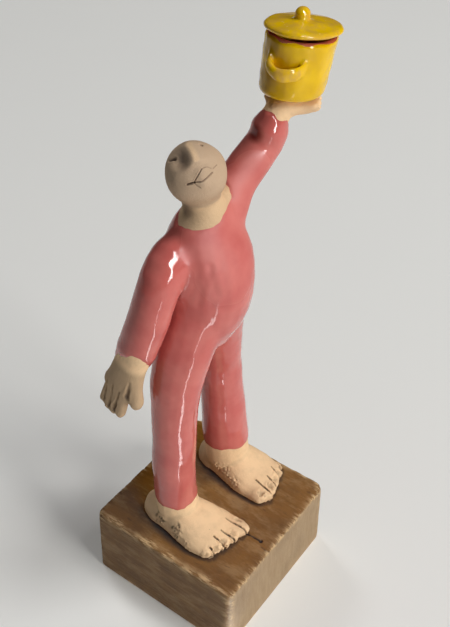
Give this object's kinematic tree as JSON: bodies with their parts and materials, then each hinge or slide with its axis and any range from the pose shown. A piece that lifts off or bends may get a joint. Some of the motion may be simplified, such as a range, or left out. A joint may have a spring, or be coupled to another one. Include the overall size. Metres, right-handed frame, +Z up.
{
  "type": "ceramic figurine",
  "caption": "Hand-built glazed figurine on a wooden block, one arm hanging and the other holding up a lidded pot on its palm.",
  "frame": {"origin": "on the wooden block's underside, below the middle of its top", "axes": "+Z up, -Y the way the figure's body and toes face, +X the figure's left, where the raised arm is"},
  "size_m": [0.0792, 0.06, 0.2032],
  "materials": {
    "wood": "bare sawn wood, worn edges",
    "pink_glaze": "glossy pink glaze on body and limbs, bare matt clay on head, neck, hands and feet",
    "yellow_glaze": "glossy"
  },
  "bodies": {
    "root": {"wooden_block": "wood", "figure": "pink_glaze", "pot": "yellow_glaze", "lid": "yellow_glaze"}
  },
  "joints": []
}
